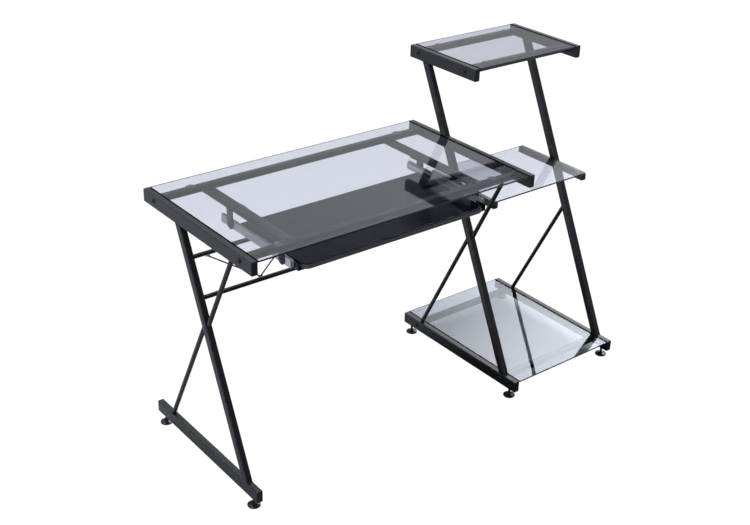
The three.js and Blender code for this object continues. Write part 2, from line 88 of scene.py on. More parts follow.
class Shading:
    """A shader tree that starts empty, apart from its output."""

    def __init__(self, owner, output):
        owner.use_nodes = True
        self.tree = owner.node_tree
        self.tree.nodes.clear()
        self.output = self.tree.nodes.new(output)

    def node(self, kind, settings=None, sockets=None, output=0):
        made = self.tree.nodes.new(kind)
        for key, value in (settings or {}).items():
            if key == "stops":
                for stop, (place, shade) in zip(self.ramp_stops(made, len(value)), value):
                    stop.position = place
                    stop.color = (shade, shade, shade, 1.0)
            else:
                setattr(made, key, value)
        for key, value in (sockets or {}).items():
            if isinstance(value, Value):
                self.tree.links.new(value.socket, made.inputs[key])
            else:
                made.inputs[key].default_value = value
        return Value(self, made.outputs[output])

    @staticmethod
    def ramp_stops(node, count):
        stops = node.color_ramp.elements
        while len(stops) < count:
            stops.new(0.5)
        return stops

    def shown_as(self, shader):
        self.tree.links.new(shader.socket, self.output.inputs["Surface"])


class Finish(Shading):
    """A material with one Principled shader, whose sockets are filled by `surface`."""

    def __init__(self, name):
        self.material = bpy.data.materials.new(name)
        super().__init__(self.material, "ShaderNodeOutputMaterial")

    def place(self, stretch=(1.0, 1.0, 1.0)):
        """Object coordinates in metres, stretched along the axes."""
        where = self.node("ShaderNodeTexCoord", output="Object")
        return self.node("ShaderNodeMapping", None, {"Vector": where, "Scale": stretch})

    def noise(self, place, size, detail=2.0, rough=0.5):
        """Noise from 0 to 1 whose blotches are about `size` metres wide."""
        sockets = {"Vector": place, "Scale": 1.0 / size, "Detail": detail, "Roughness": rough}
        return self.node("ShaderNodeTexNoise", None, sockets, "Fac")

    def steps(self, value, *stops):
        return self.node("ShaderNodeValToRGB", {"stops": stops}, {"Fac": value}, "Color")

    def mask(self, name):
        return self.node("ShaderNodeAttribute", {"attribute_name": name}, None, "Fac")

    def blend(self, share, first, second):
        """A colour between two colours."""
        sockets = {"Factor": share}
        for key, colour in ((6, first), (7, second)):
            sockets[key] = colour if isinstance(colour, Value) else (*colour, 1.0)
        settings = {"data_type": "RGBA"}
        return self.node("ShaderNodeMix", settings, sockets, 2)

    def bump(self, height, depth, distance):
        return self.node(
            "ShaderNodeBump", None, {"Height": height, "Strength": depth, "Distance": distance}
        )

    def surface(self, **sockets):
        named = {key.replace("_", " "): value for key, value in sockets.items()}
        self.shown_as(self.node("ShaderNodeBsdfPrincipled", None, named))
        return self.material


# ---- Finishes ----------------------------------------------------------------------------------
def black_powder_coat(name="black_powder_coat", base=(0.0045, 0.0046, 0.0066), sheen=0.31):
    """Satin black paint baked on steel: fine orange peel, faint clouds, corners rubbed a little."""
    f = Finish(name)
    place = f.place()
    peel = f.noise(place, 0.0011, 2.0)
    clouds = f.noise(place, 0.07, 3.0)
    specks = f.steps(f.noise(place, 0.0028, 1.0), (0.68, 0.0), (0.78, 1.0))
    rubbed = f.mask("worn") * f.steps(f.noise(place, 0.012, 4.0), (0.45, 0.0), (0.7, 1.0))
    lighter = tuple(1.25 * c for c in base)
    colour = f.blend(clouds, base, lighter)
    colour = f.blend(specks * 0.2, colour, (0.04, 0.04, 0.045))
    colour = f.blend(rubbed * 0.4, colour, (0.08, 0.08, 0.085))
    rough = sheen + clouds * 0.06 - rubbed * 0.06 + specks * 0.06
    normal = f.bump(peel, 0.1, 0.0003)
    return f.surface(Base_Color=colour, Roughness=rough, Normal=normal, Specular_IOR_Level=0.42)


def black_laminate():
    """The hard plastic skin of the tray: a fine pebble, dust and faint wiping marks."""
    f = Finish("black_laminate")
    place = f.place()
    pebble = f.noise(place, 0.0009, 2.0)
    dust = f.steps(f.noise(place, 0.002, 0.0), (0.7, 0.0), (0.8, 1.0))
    wiped = f.noise(f.place((1.0, 2.5, 1.0)), 0.16, 3.0)
    colour = f.blend(wiped, (0.0062, 0.0066, 0.0120), (0.0080, 0.0085, 0.0150))
    colour = f.blend(dust * 0.3, colour, (0.06, 0.06, 0.065))
    rough = 0.12 + wiped * 0.05 + dust * 0.15
    normal = f.bump(pebble, 0.08, 0.0003)
    return f.surface(Base_Color=colour, Roughness=rough, Normal=normal, Specular_IOR_Level=0.2)


def edge_band():
    """Glued plastic edging round the tray, lighter and duller than its top."""
    f = Finish("tray_edge_band")
    place = f.place((0.2, 0.2, 1.0))
    streaks = f.noise(place, 0.0025, 3.0)
    colour = f.blend(streaks, (0.046, 0.046, 0.049), (0.066, 0.066, 0.070))
    rough = 0.34 + streaks * 0.12
    return f.surface(Base_Color=colour, Roughness=rough, Normal=f.bump(streaks, 0.1, 0.0004))


def smoked_glass(name, base):
    """Polished float glass with a grey-blue body and a few wiping smears."""
    f = Finish(name)
    smears = f.noise(f.place((1.0, 3.0, 1.0)), 0.12, 3.0)
    prints = f.steps(f.noise(f.place(), 0.03, 4.0, 0.6), (0.55, 0.0), (0.75, 1.0))
    body = f.blend(smears, base, tuple(1.025 * c for c in base))
    rough = 0.004 + smears * 0.006 + prints * 0.012
    return f.surface(Base_Color=body, Roughness=rough, Transmission_Weight=1.0, IOR=1.5)


def ground_glass_edge():
    """The seamed rim of a pane, where the body colour gathers into a deep grey-green."""
    f = Finish("ground_glass_edge")
    along = f.noise(f.place((0.15, 0.15, 1.0)), 0.0016, 3.0)
    colour = f.blend(along, (0.004, 0.006, 0.008), (0.014, 0.020, 0.024))
    rough = 0.12 + along * 0.18
    return f.surface(Base_Color=colour, Roughness=rough, Normal=f.bump(along, 0.2, 0.0003), IOR=1.5)


def zinc_plate(name, base, grain=(30.0, 1.0, 30.0), metal=0.92):
    """Rolled and zinc plated steel, with long rolling marks and a faint haze."""
    f = Finish(name)
    rolled = f.noise(f.place(grain), 0.02, 3.0)
    haze = f.noise(f.place(), 0.018, 3.0)
    colour = f.blend(haze, base, tuple(1.25 * c for c in base))
    colour = f.blend(rolled * 0.35, colour, (0.20, 0.205, 0.215))
    rough = 0.24 + rolled * 0.16 + haze * 0.06
    normal = f.bump(rolled, 0.08, 0.0003)
    return f.surface(Base_Color=colour, Roughness=rough, Metallic=metal, Normal=normal)


def black_oxide():
    """Blackened fasteners: dark, slightly oily, with brighter turned faces."""
    f = Finish("black_oxide")
    place = f.place()
    turned = f.noise(place, 0.0012, 3.0)
    colour = f.blend(turned, (0.012, 0.012, 0.013), (0.035, 0.035, 0.038))
    rough = 0.24 + turned * 0.18
    normal = f.bump(turned, 0.08, 0.0002)
    return f.surface(Base_Color=colour, Roughness=rough, Metallic=0.6, Normal=normal)


def moulded_black(name, base, rough, grain, shine=0.5):
    """Injection moulded plastic with a fine mould grain."""
    f = Finish(name)
    place = f.place()
    spark = f.noise(place, grain, 2.0)
    flow = f.noise(place, 0.015, 2.0)
    colour = f.blend(flow, base, tuple(1.6 * c for c in base))
    gloss = rough + flow * 0.08 + spark * 0.05
    normal = f.bump(spark, 0.1, 0.0003)
    return f.surface(Base_Color=colour, Roughness=gloss, Normal=normal, Specular_IOR_Level=shine)


def clear_silicone():
    """Soft clear pads under the glass."""
    f = Finish("clear_silicone")
    milk = f.noise(f.place(), 0.006, 3.0)
    colour = f.blend(milk, (0.50, 0.52, 0.54), (0.62, 0.64, 0.66))
    rough = 0.16 + milk * 0.12
    return f.surface(Base_Color=colour, Roughness=rough, Transmission_Weight=0.72, IOR=1.41)


POWDER = black_powder_coat()
WELD = black_powder_coat("painted_weld", (0.006, 0.006, 0.007), sheen=0.3)
LAMINATE = black_laminate()
EDGE_BAND = edge_band()
GLASS = smoked_glass("smoked_glass", (0.622, 0.626, 0.660))
# Painted shade: the same smoked glass with its body darkened, for the darker look of the top shelf.
TOP_GLASS_SHADED = smoked_glass("top_smoked_glass", (0.53, 0.535, 0.565))
# Painted shade: the same smoked glass with its body darkened, for the shade under the base shelf.
BASE_GLASS_SHADED = smoked_glass("deep_smoked_glass", (0.38, 0.395, 0.43))
PANES = {"desk_glass": GLASS, "top_glass": TOP_GLASS_SHADED, "mid_glass": GLASS, "base_glass": BASE_GLASS_SHADED}
GLASS_EDGE = ground_glass_edge()
ZINC = zinc_plate("zinc_plate", (0.32, 0.325, 0.335))
BRIGHT_ZINC = zinc_plate("bright_zinc", (0.70, 0.70, 0.69), metal=0.35)
BALL_STEEL = zinc_plate("ball_steel", (0.62, 0.62, 0.63), grain=(1.0, 1.0, 1.0))
OXIDE = black_oxide()
PLUG = moulded_black("plug_plastic", (0.006, 0.006, 0.007), rough=0.42, grain=0.0008, shine=0.3)
GLIDE = moulded_black("glide_plastic", (0.006, 0.006, 0.006), rough=0.16, grain=0.0012)
# Painted shadow: a near black, dull plastic for the strips that paint the shadow gap between each
# pane and its rails.
SHADOW_STRIP = moulded_black("soft_gasket", (0.002, 0.002, 0.002), rough=0.7, grain=0.0010, shine=0.05)
SILICONE = clear_silicone()


# ---- Geometry Nodes ----------------------------------------------------------------------------
class Recipe:
    """A Geometry Nodes tree with named inputs that ends in Realize Instances and Set Material."""

    KINDS = {
        "FLOAT": "NodeSocketFloat",
        "INT": "NodeSocketInt",
        "OBJECT": "NodeSocketObject",
        "MATERIAL": "NodeSocketMaterial",
    }

    def __init__(self, name, **inputs):
        self.tree = bpy.data.node_groups.new(name, "GeometryNodeTree")
        face = self.tree.interface
        face.new_socket("Seeds", in_out="INPUT", socket_type="NodeSocketGeometry")
        for key, kind in {**inputs, "Finish": "MATERIAL"}.items():
            face.new_socket(key, in_out="INPUT", socket_type=self.KINDS[kind])
        face.new_socket("Result", in_out="OUTPUT", socket_type="NodeSocketGeometry")
        self.given = self.tree.nodes.new("NodeGroupInput").outputs

    def node(self, kind, settings=None, sockets=None, output=0):
        made = self.tree.nodes.new(kind)
        for key, value in (settings or {}).items():
            setattr(made, key, value)
        for key, value in (sockets or {}).items():
            if isinstance(value, bpy.types.NodeSocket):
                self.tree.links.new(value, made.inputs[key])
            else:
                made.inputs[key].default_value = value
        return made.outputs[output]

    def closed(self, geometry):
        real = self.node("GeometryNodeRealizeInstances", None, {"Geometry": geometry})
        sockets = {"Geometry": real, "Material": self.given["Finish"]}
        painted = self.node("GeometryNodeSetMaterial", None, sockets)
        self.tree.links.new(painted, self.tree.nodes.new("NodeGroupOutput").inputs[0])
        return self


# The sockets of a Random Value node that hold the range of a float.
LEAST, MOST = 2, 3


def fastener_recipe():
    """A head on each seed point: its axis follows the point's `facing`, and its turn is random."""
    r = Recipe("fasteners", Head="OBJECT", Seed="INT")
    facing = r.node(
        "GeometryNodeInputNamedAttribute", {"data_type": "FLOAT_VECTOR"}, {"Name": "facing"}
    )
    upright = r.node("FunctionNodeAlignRotationToVector", {"axis": "Z"}, {"Vector": facing})
    sockets = {LEAST: 0.0, MOST: math.tau, "Seed": r.given["Seed"]}
    angle = r.node("FunctionNodeRandomValue", {"data_type": "FLOAT"}, sockets, 1)
    spin = r.node("FunctionNodeAxisAngleToRotation", None, {"Angle": angle})
    turned = r.node(
        "FunctionNodeRotateRotation",
        {"rotation_space": "LOCAL"},
        {"Rotation": upright, "Rotate By": spin},
    )
    head = r.node("GeometryNodeObjectInfo", None, {"Object": r.given["Head"]}, "Geometry")
    sockets = {"Points": r.given["Seeds"], "Instance": head, "Rotation": turned}
    return r.closed(r.node("GeometryNodeInstanceOnPoints", None, sockets))


def weld_recipe():
    """Overlapping round scales along each seed line."""
    r = Recipe("weld_beads", Pitch="FLOAT", Radius="FLOAT", Seed="INT")
    line = r.node("GeometryNodeMeshToCurve", None, {"Mesh": r.given["Seeds"]})
    spots = r.node(
        "GeometryNodeResampleCurve", {"mode": "LENGTH"}, {"Curve": line, "Length": r.given["Pitch"]}
    )
    scale = r.node(
        "GeometryNodeMeshUVSphere", None, {"Segments": 8, "Rings": 6, "Radius": r.given["Radius"]}
    )
    sockets = {LEAST: 0.8, MOST: 1.15, "Seed": r.given["Seed"]}
    size = r.node("FunctionNodeRandomValue", {"data_type": "FLOAT"}, sockets, 1)
    sockets = {"Points": spots, "Instance": scale, "Scale": size}
    beads = r.node("GeometryNodeInstanceOnPoints", None, sockets)
    smooth = r.node("GeometryNodeSetShadeSmooth", None, {"Geometry": beads})
    return r.closed(smooth)


def wire_recipe():
    """A round wire that follows each seed line, with its corners bent to a radius."""
    r = Recipe("bent_wire", Radius="FLOAT", Bend="FLOAT")
    line = r.node("GeometryNodeMeshToCurve", None, {"Mesh": r.given["Seeds"]})
    bent = r.node(
        "GeometryNodeFilletCurve",
        {"mode": "POLY"},
        {"Curve": line, "Count": 8, "Radius": r.given["Bend"]},
    )
    ring = r.node(
        "GeometryNodeCurvePrimitiveCircle", None, {"Resolution": 14, "Radius": r.given["Radius"]}
    )
    sockets = {"Curve": bent, "Profile Curve": ring, "Fill Caps": True}
    wire = r.node("GeometryNodeCurveToMesh", None, sockets)
    return r.closed(r.node("GeometryNodeSetShadeSmooth", None, {"Geometry": wire}))


def thread_recipe():
    """A screw thread standing up from each seed point."""
    r = Recipe("screw_thread", Turns="FLOAT", Radius="FLOAT", Height="FLOAT", Ridge="FLOAT")
    sockets = {
        "Resolution": 20,
        "Rotations": r.given["Turns"],
        "Start Radius": r.given["Radius"],
        "End Radius": r.given["Radius"],
        "Height": r.given["Height"],
    }
    helix = r.node("GeometryNodeCurveSpiral", None, sockets)
    ring = r.node(
        "GeometryNodeCurvePrimitiveCircle", None, {"Resolution": 4, "Radius": r.given["Ridge"]}
    )
    sockets = {"Curve": helix, "Profile Curve": ring, "Fill Caps": True}
    ridge = r.node("GeometryNodeCurveToMesh", None, sockets)
    sockets = {"Points": r.given["Seeds"], "Instance": ridge}
    return r.closed(r.node("GeometryNodeInstanceOnPoints", None, sockets))


FASTENERS = fastener_recipe()
WELDS = weld_recipe()
WIRE = wire_recipe()
THREAD = thread_recipe()


def seeds(points, facing=None, edges=()):
    mesh = bpy.data.meshes.new("seeds")
    mesh.from_pydata([tuple(p) for p in points], list(edges), [])
    if facing is not None:
        held = mesh.attributes.new("facing", "FLOAT_VECTOR", "POINT")
        held.data.foreach_set("vector", [c for v in facing for c in v])
    return mesh


def grown(recipe, seed_mesh, **values):
    """The plain mesh that a recipe makes of its seeds."""
    holder = bpy.data.objects.new("holder", seed_mesh)
    bpy.context.scene.collection.objects.link(holder)
    modifier = holder.modifiers.new("grow", "NODES")
    modifier.node_group = recipe.tree
    for item in recipe.tree.interface.items_tree:
        if item.in_out == "INPUT" and item.name in values:
            modifier[item.identifier] = values[item.name]
    graph = bpy.context.evaluated_depsgraph_get()
    mesh = bpy.data.meshes.new_from_object(holder.evaluated_get(graph))
    holder.modifiers.remove(modifier)
    bpy.data.objects.remove(holder)
    return mesh


# ---- Mesh helpers ------------------------------------------------------------------------------
def piece_of(name, mesh, body, nodes=(), finishes=(), smooth_under=35):
    """Puts a finished mesh in the scene on its body."""
    for finish in finishes:
        mesh.materials.append(finish)
    if smooth_under:
        mesh.shade_smooth()
        mesh.set_sharp_from_angle(angle=math.radians(smooth_under))
    piece = bpy.data.objects.new(name, mesh)
    bpy.context.scene.collection.objects.link(piece)
    if nodes:
        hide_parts(*nodes)
    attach(piece, body)


def mesh_of(bm, name):
    bmesh.ops.recalc_face_normals(bm, faces=bm.faces)
    mesh = bpy.data.meshes.new(name)
    bm.to_mesh(mesh)
    bm.free()
    return mesh


def arc(centre, radius, start, end, steps):
    for step in range(steps + 1):
        angle = start + (end - start) * step / steps
        yield centre[0] + radius * math.cos(angle), centre[1] + radius * math.sin(angle)


def rounded_outline(width, height, radius, steps=6, relief=0.0):
    """Points and wear marks round a rectangle; `relief` adds unworn points beside each corner."""
    x, y = width / 2 - radius, height / 2 - radius
    corners = ((x, y, 0), (-x, y, 1), (-x, -y, 2), (x, -y, 3))
    points = []
    for cx, cy, quarter in corners:
        start = quarter * math.pi / 2
        here = list(arc((cx, cy), radius, start, start + math.pi / 2, steps))
        along = (math.sin(start), -math.cos(start))
        after = (math.cos(start + math.pi / 2), math.sin(start + math.pi / 2))
        first, last = here[0], here[-1]
        if relief:
            points.append((first[0] + along[0] * relief, first[1] + along[1] * relief, 0.0))
        points += [(px, py, 1.0) for px, py in here]
        if relief:
            turned = (-after[1], after[0])
            points.append((last[0] + turned[0] * relief, last[1] + turned[1] * relief, 0.0))
    return points


def add_ring(bm, worn, outline, level, place):
    ring = []
    for x, y, mark in outline:
        vertex = bm.verts.new(place(x, y, level))
        vertex[worn] = mark
        ring.append(vertex)
    return ring


def bridge(bm, first, second, finish=0):
    count = len(first)
    for i in range(count):
        j = (i + 1) % count
        face = bm.faces.new((first[i], first[j], second[j], second[i]))
        face.material_index = finish


def lathe(profile, steps, place=lambda v: v):
    """A turned mesh from (radius, height) points that start and end on the axis."""
    bm = bmesh.new()
    rings = []
    for radius, height in profile:
        if radius == 0:
            rings.append([bm.verts.new(place(Vector((0, 0, height))))])
            continue
        ring = []
        for step in range(steps):
            angle = math.tau * step / steps
            spot = Vector((radius * math.cos(angle), radius * math.sin(angle), height))
            ring.append(bm.verts.new(place(spot)))
        rings.append(ring)
    for low, high in zip(rings, rings[1:]):
        for step in range(steps):
            after = (step + 1) % steps
            if len(low) == 1:
                bm.faces.new((low[0], high[after], high[step]))
            elif len(high) == 1:
                bm.faces.new((low[step], low[after], high[0]))
            else:
                bm.faces.new((low[step], low[after], high[after], high[step]))
    return bm


# ---- Tubes -------------------------------------------------------------------------------------
WALL = 1.5 * MM
CORNER = 2.6 * MM
SLIM_TUBE = 12 * MM
SLIM_CORNER = 1.6 * MM
RIM = 0.35 * MM
LEG_DEPTH = 26 * MM


def along_x(low, high):
    mid = (low + high) / 2
    return lambda u, v, w: (mid.x + w, mid.y + u, mid.z + v)


def along_y(low, high):
    mid = (low + high) / 2
    return lambda u, v, w: (mid.x + u, mid.y + w, mid.z + v)


def leaning(low, high, depth):
    mid = (low + high) / 2
    lean = (high.y - low.y - depth) / (high.z - low.z)
    return lambda u, v, w: (mid.x + u, mid.y + v + lean * w, mid.z + w)


def tube_mesh(name, width, height, length, place, corner):
    """A hollow tube with rounded corners and eased, slightly rubbed end rims."""
    bm = bmesh.new()
    worn = bm.verts.layers.float.new("worn")
    outer = rounded_outline(width, height, corner, relief=1.2 * MM)
    eased = rounded_outline(width - 2 * RIM, height - 2 * RIM, corner - RIM, relief=1.2 * MM)
    inner = rounded_outline(
        width - 2 * WALL, height - 2 * WALL, corner - WALL, relief=0.8 * MM
    )
    half = length / 2
    rubbed = [(x, y, 1.0) for x, y, _ in eased]
    levels = (
        (inner, -half + RIM),
        (rubbed, -half),
        (outer, -half + RIM),
        (outer, -half + 4 * RIM),
        (outer, half - 4 * RIM),
        (outer, half - RIM),
        (rubbed, half),
        (inner, half - RIM),
    )
    rings = [add_ring(bm, worn, outline, level, place) for outline, level in levels]
    for first, second in zip(rings, rings[1:] + rings[:1]):
        bridge(bm, first, second)
    return mesh_of(bm, name)


def straight_tube(node, along):
    low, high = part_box(node)
    size = high - low
    if along == "x":
        place, width, height, length = along_x(low, high), size.y, size.z, size.x
    else:
        place, width, height, length = along_y(low, high), size.x, size.z, size.y
    corner = CORNER if min(width, height) > SLIM_TUBE else SLIM_CORNER
    mesh = tube_mesh(node + "_tube", width, height, length, place, corner)
    piece_of(node + "_tube", mesh, "frame", [node], [POWDER])


def leaning_tube(node):
    low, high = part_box(node)
    place = leaning(low, high, LEG_DEPTH)
    size = high - low
    mesh = tube_mesh(node + "_tube", size.x, LEG_DEPTH, size.z, place, CORNER)
    piece_of(node + "_tube", mesh, "frame", [node], [POWDER])


SIDE_RAILS = ["desk_rail_left", "desk_rail_right", "top_rail_left", "top_rail_right"]
SIDE_RAILS += ["mid_rail_left", "mid_rail_right"]
SIDE_RAILS += [f"foot_rail_{side}" for side in FRAMES]
CROSSBARS = [f"{shelf}_crossbar_{end}" for shelf in ("desk", "top", "base") for end in ENDS]
STRETCHERS = ["stretcher_upper", "stretcher_lower"]
LEGS = ["leg_left", "leg_middle", "post_middle", "post_right"]
for node in SIDE_RAILS:
    straight_tube(node, "y")
for node in CROSSBARS + STRETCHERS:
    straight_tube(node, "x")
for node in LEGS:
    leaning_tube(node)


# The inset and the level of each ring of a plug in millimetres, from its inner end to its face.
PLUG_PROFILE = (
    (0.4, -12), (0.0, -11.5), (0.0, -1.1), (0.25, -0.75), (0.9, -0.55), (2.6, -0.45),
)
PLUG_PLAY = 0.1 * MM


def end_plug(name, low, high, end):
    """A black plug in the open end of a rail, its face crowned and just inside the rim."""
    size = high - low
    width, height = (edge - 2 * WALL - PLUG_PLAY for edge in (size.x, size.z))
    mid = (low + high) / 2
    mouth = low.y if end < 0 else high.y
    bm = bmesh.new()
    worn = bm.verts.layers.float.new("worn")

    def place(u, v, w):
        return (mid.x + u, mouth + end * w, mid.z + v)

    rings = []
    for inset, level in PLUG_PROFILE:
        narrower = 2 * inset * MM
        outline = rounded_outline(width - narrower, height - narrower, 0.6 * MM, 4)
        rings.append(add_ring(bm, worn, outline, level * MM, place))
    for first, second in zip(rings, rings[1:]):
        bridge(bm, first, second)
    bm.faces.new(rings[0])
    bm.faces.new(rings[-1])
    piece_of(name, mesh_of(bm, name), "frame", (), [PLUG])


for node in SIDE_RAILS:
    low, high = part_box(node)
    end_plug(node + "_plug_front", low, high, -1)
    end_plug(node + "_plug_rear", low, high, 1)


# ---- Plates and rods taken over from the CAD solids --------------------------------------------
def eased_copy(node, body, finish, ease):
    """A copy of a CAD solid with its edges eased."""
    bm = bmesh.new()
    bm.from_mesh(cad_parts[node].data)
    bmesh.ops.remove_doubles(bm, verts=bm.verts, dist=0.00001)
    bmesh.ops.dissolve_limit(
        bm, angle_limit=math.radians(1.0), verts=bm.verts, edges=bm.edges
    )
    mesh = mesh_of(bm, node + "_eased")
    holder = bpy.data.objects.new("holder", mesh)
    bpy.context.scene.collection.objects.link(holder)
    bevel = holder.modifiers.new("ease", "BEVEL")
    bevel.width = ease
    bevel.segments = 2
    bevel.limit_method = "ANGLE"
    bevel.angle_limit = math.radians(40)
    graph = bpy.context.evaluated_depsgraph_get()
    made = bpy.data.meshes.new_from_object(holder.evaluated_get(graph))
    bpy.data.objects.remove(holder)
    made.materials.clear()
    piece_of(node + "_eased", made, body, [node], [finish])


BRACES = [f"brace_{side}_{half}" for side in ("left", "middle") for half in ("upper", "lower")]
BRACES += ["brace_right"]
for side in SIDES:
    eased_copy(f"hanger_bar_{side}", "frame", POWDER, 0.4 * MM)
    eased_copy(f"slide_outer_{side}", "frame", BRIGHT_ZINC, 0.2 * MM)
    eased_copy(f"slide_cage_{side}", f"cage_{side}", ZINC, 0.15 * MM)
    eased_copy(f"slide_inner_{side}", "tray", BRIGHT_ZINC, 0.2 * MM)
    for end in ENDS:
        eased_copy(f"drop_bracket_{side}_{end}", "frame", POWDER, 0.35 * MM)
        eased_copy(f"tray_bracket_{side}_{end}", "tray", POWDER, 0.3 * MM)


def round_brace(node, steps=24, wear=0.2):
    """A round bar between two level cuts, following the leaning CAD brace."""
    low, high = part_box(node)
    radius = (high.x - low.x) / 2
    corners = [v.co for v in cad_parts[node].data.vertices]
    reach = 1.0 * MM
    top = [c for c in corners if c.z > high.z - reach]
    bottom = [c for c in corners if c.z < low.z + reach]
    foot, head = (sum(group, Vector()) / len(group) for group in (bottom, top))
    side = Vector((1, 0, 0))
    across = (head - foot).normalized().cross(side).normalized()
    bm = bmesh.new()
    worn = bm.verts.layers.float.new("worn")
    outline = []
    for step in range(steps):
        angle = math.tau * step / steps
        outline.append((radius * math.cos(angle), radius * math.sin(angle), wear))

    def place(u, v, centre):
        return centre + u * side + v * across

    centres = (foot, foot.lerp(head, 0.5), head)
    rings = [add_ring(bm, worn, outline, centre, place) for centre in centres]
    for first, second in zip(rings, rings[1:]):
        bridge(bm, first, second)
    bm.faces.new(rings[0])
    bm.faces.new(rings[-1])
    mesh = mesh_of(bm, node)
    piece_of(node + "_bar", mesh, "frame", [node], [POWDER], 50)


for node in BRACES:
    round_brace(node)


# ---- Glass -------------------------------------------------------------------------------------
def glass_pane(node, corner=4.0 * MM, ease=0.5 * MM):
    """A pane with seamed edges: the two faces are clear and the rim is ground."""
    low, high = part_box(node)
    mid = (low + high) / 2
    size = high - low
    bm = bmesh.new()
    worn = bm.verts.layers.float.new("worn")

    def place(u, v, w):
        return (mid.x + u, mid.y + v, w)

    rings = []
    for inset, level in ((ease, low.z), (0.0, low.z + ease), (0.0, high.z - ease), (ease, high.z)):
        outline = rounded_outline(size.x - 2 * inset, size.y - 2 * inset, corner - inset, 6)
        rings.append(add_ring(bm, worn, outline, level, place))
    for first, second in zip(rings, rings[1:]):
        bridge(bm, first, second, 1)
    bm.faces.new(rings[0])
    bm.faces.new(rings[-1])
    mesh = mesh_of(bm, node + "_pane")
    finishes = [PANES[node], GLASS_EDGE]
    piece_of(node + "_pane", mesh, "frame", [node], finishes, 20)


for node in PANES:
    glass_pane(node)


# How far each painted shadow strip reaches onto the glass past its edge, on either side.
SHADOW_STRIP_LIP = {"left": 0.9 * MM, "right": 3.0 * MM}


def pane_shadow_strip(shelf, side, rail, count=24):
    """A black strip in the gap between a pane and its rail, with a thin lip on the glass: it paints
    the shadow in that gap.
    """
    low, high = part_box(shelf + "_glass")
    rail_low, rail_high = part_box(rail)
    inward = 1 if side == "left" else -1
    wall = rail_high.x if side == "left" else rail_low.x
    edge = low.x if side == "left" else high.x
    gap = inward * (edge - wall)
    lip = gap + SHADOW_STRIP_LIP[side]
    ends = (max(low.y, rail_low.y) + 1.5 * MM, min(high.y, rail_high.y) - 1.5 * MM)
    section = [
        (0.1 * MM, low.z - 1.2 * MM),
        (gap - 0.1 * MM, low.z - 1.2 * MM),
        (gap - 0.1 * MM, high.z + 0.05 * MM),
        (lip, high.z + 0.05 * MM),
        (lip - 0.2 * MM, high.z + 0.45 * MM),
        (lip - 0.6 * MM, high.z + 0.8 * MM),
        (gap, high.z + 1.15 * MM),
        (0.1 * MM, high.z + 1.3 * MM),
    ]
    bm = bmesh.new()
    worn = bm.verts.layers.float.new("worn")
    outline = [(u, level, 0.0) for u, level in section]

    def place(u, v, w):
        return (wall + inward * u, w, v)

    rings = []
    for step in range(count + 1):
        y = ends[0] + (ends[1] - ends[0]) * step / count
        rings.append(add_ring(bm, worn, outline, y, place))
    for first, second in zip(rings, rings[1:]):
        bridge(bm, first, second)
    bm.faces.new(rings[0])
    bm.faces.new(rings[-1])
    mesh = mesh_of(bm, f"{shelf}_gasket_{side}")
    piece_of(mesh.name, mesh, "frame", (), [SHADOW_STRIP])


for shelf in ("desk", "top"):
    for side in SIDES:
        pane_shadow_strip(shelf, side, f"{shelf}_rail_{side}")
for side, rail in (("left", "foot_rail_middle"), ("right", "foot_rail_right")):
    pane_shadow_strip("base", side, rail)


# ---- Keyboard tray -----------------------------------------------------------------------------
def tray_board(node="keyboard_tray", corner=24 * MM, rear_corner=2 * MM):
    """A board with round front corners: its top skin rolls over the edge, down to a glued band."""
    low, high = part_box(node)
    ease, crown = 1.2 * MM, 3 * MM

    def outline(inset):
        points = []
        x0, x1 = low.x + inset, high.x - inset
        y0, y1 = low.y + inset, high.y - inset
        front, rear = corner - inset, max(rear_corner - inset, 0.3 * MM)
        points += arc((x1 - rear, y1 - rear), rear, 0, math.pi / 2, 4)
        points += arc((x0 + rear, y1 - rear), rear, math.pi / 2, math.pi, 4)
        points += arc((x0 + front, y0 + front), front, math.pi, 1.5 * math.pi, 12)
        points += arc((x1 - front, y0 + front), front, 1.5 * math.pi, math.tau, 12)
        return [(px, py, 0.0) for px, py in points]

    def round_over(radius, face, way, steps=4):
        """Insets and levels from a flat face, round its edge, to the side of the board."""
        yield radius + 1 * MM, face
        for step in range(steps + 1):
            angle = step * math.pi / 2 / steps
            yield radius * (1 - math.sin(angle)), face + way * radius * (1 - math.cos(angle))

    bm = bmesh.new()
    worn = bm.verts.layers.float.new("worn")
    under = list(round_over(ease, low.z, 1))
    over = list(round_over(crown, high.z, -1))
    rings = [
        add_ring(bm, worn, outline(inset), level, lambda u, v, w: (u, v, w))
        for inset, level in under + over[::-1]
    ]
    skin, band = 0, 1
    for index, (first, second) in enumerate(zip(rings, rings[1:])):
        bridge(bm, first, second, band if 0 < index < len(under) else skin)
    bm.faces.new(rings[0])
    bm.faces.new(rings[-1])
    mesh = mesh_of(bm, node + "_board")
    piece_of(node + "_board", mesh, "tray", [node], [LAMINATE, EDGE_BAND], 50)


tray_board()


# ---- Truss wire --------------------------------------------------------------------------------
def truss_wire(node="truss_wire", radius=2 * MM, bays=6):
    """The zigzag wire between the two stretchers, bent from one length; returns its bends."""
    low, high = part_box(node)
    points = []
    for bend in range(bays + 1):
        share = bend / bays
        top = bend % 2 == 0
        x = low.x + radius + share * (high.x - low.x - 2 * radius)
        y = high.y - radius if top else low.y + radius
        z = high.z - radius if top else low.z + radius
        points.append((x, y, z))
    edges = [(i, i + 1) for i in range(bays)]
    mesh = grown(WIRE, seeds(points, None, edges), Radius=radius, Bend=4 * MM, Finish=POWDER)
    piece_of(node + "_bent", mesh, "frame", [node], (), None)
    return points


wire_bends = truss_wire()


